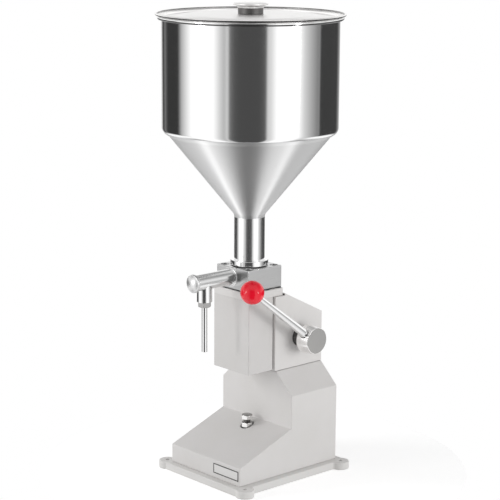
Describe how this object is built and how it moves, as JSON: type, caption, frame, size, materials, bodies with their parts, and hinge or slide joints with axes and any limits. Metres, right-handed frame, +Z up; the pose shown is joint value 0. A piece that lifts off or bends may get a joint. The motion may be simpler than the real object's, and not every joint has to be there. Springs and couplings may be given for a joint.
{
  "type": "manual piston filling machine",
  "caption": "Hand-lever piston filler: covered steel hopper on a valve block with a side discharge nozzle, over a painted stand with a side lever and a stroke-stop bolt.",
  "frame": {"origin": "centre of the four bench-bolt holes, on the underside of the base plate", "axes": "+Z up, -Y to the front where the nozzle points and the deck slopes, +X to the side of the hand lever"},
  "size_m": [0.3082, 0.3082, 0.7874],
  "materials": {
    "casting_paint": "light warm grey enamel, fine orange peel",
    "sheet_paint": "light warm grey powder coat",
    "frame_casting": "as-cast aluminium, bead blasted",
    "label_alu": "dark blank name-plate holder with a bright rim",
    "zinc_steel": "zinc plated fasteners",
    "polished_steel": "mirror polished stainless steel",
    "satin_steel": "satin stainless steel",
    "turned_steel": "fine turned stainless steel",
    "bright_steel": "bright plated steel",
    "bronze": "oiled bearing bronze",
    "black_rubber": "black nitrile",
    "white_seal": "white fluoropolymer",
    "red_knob": "glossy red"
  },
  "bodies": {
    "stand": {"base_plate": "casting_paint", "frame_bolts": "zinc_steel", "lower_housing": "sheet_paint", "housing_screws": "zinc_steel", "label_plate": "label_alu", "main_frame": "frame_casting", "dose_lock_nut": "bright_steel", "head_column": "casting_paint", "guide_bush": "bronze", "head_plate": "satin_steel", "column_screws": "zinc_steel", "head_plate_screws": "zinc_steel", "rear_cover": "sheet_paint", "cover_screws": "zinc_steel", "cylinder": "satin_steel", "shaft_bushes": "bronze", "hub_washer": "bronze", "block_gasket": "black_rubber", "valve_block": "satin_steel", "block_screws": "bright_steel", "inlet_nipple": "turned_steel", "valve_guide": "turned_steel", "inlet_spring": "bright_steel", "discharge_tube": "polished_steel", "discharge_cap": "polished_steel", "cap_seal": "white_seal", "discharge_spring": "bright_steel", "nozzle_gland": "polished_steel", "nozzle_tube": "polished_steel", "nozzle_seal": "black_rubber", "neck_gasket": "black_rubber", "hopper_collar": "polished_steel", "hopper_neck": "polished_steel", "hopper_cone": "satin_steel", "hopper_bowl": "polished_steel"},
    "handle": {"handle_shaft": "turned_steel", "shaft_clip": "zinc_steel", "crank_arm": "satin_steel", "arm_key": "turned_steel", "handle_hub": "polished_steel", "hub_set_screw": "zinc_steel", "lever_rod": "polished_steel", "ball_knob": "red_knob"},
    "plunger": {"piston": "white_seal", "piston_seals": "black_rubber", "piston_screw": "zinc_steel", "piston_rod": "turned_steel", "crosshead_pin": "turned_steel", "pin_clips": "zinc_steel"},
    "inlet_poppet": {"inlet_valve": "turned_steel", "inlet_valve_seal": "black_rubber"},
    "discharge_check": {"discharge_ball": "polished_steel"},
    "hopper_lid": {"lid": "satin_steel", "lid_knob": "turned_steel", "knob_screw": "bright_steel"},
    "stroke_stop": {"dose_bolt": "bright_steel"}
  },
  "joints": [
    {"name": "handle_swing", "type": "hinge", "parent": "stand", "child": "handle", "pos_m": [0, 0.058, 0.23], "axis": [1, 0, 0], "range_deg": [0, 31]},
    {"name": "piston_stroke", "type": "slide", "parent": "stand", "child": "plunger", "axis": [0, 0, -1], "range_m": [0, 0.04]},
    {"name": "stop_adjust", "type": "slide", "parent": "stand", "child": "stroke_stop", "axis": [0, 0, 1], "range_m": [0, 0.04]},
    {"name": "inlet_valve_lift", "type": "slide", "parent": "stand", "child": "inlet_poppet", "axis": [0, 0, -1], "range_m": [0, 0.005], "stiffness_N_per_m": 250, "springref_m": -0.004, "deforming": ["inlet_spring"]},
    {"name": "discharge_valve_lift", "type": "slide", "parent": "stand", "child": "discharge_check", "axis": [0, -1, 0], "range_m": [0, 0.006], "stiffness_N_per_m": 300, "springref_m": -0.004, "deforming": ["discharge_spring"]},
    {"name": "lid_lift", "type": "slide", "parent": "stand", "child": "hopper_lid", "axis": [0, 0, 1], "range_m": [0, 0.06]}
  ],
  "couplings": [
    {"joint": "piston_stroke", "follows": "handle_swing", "m_per_rad": 0.07332}
  ]
}
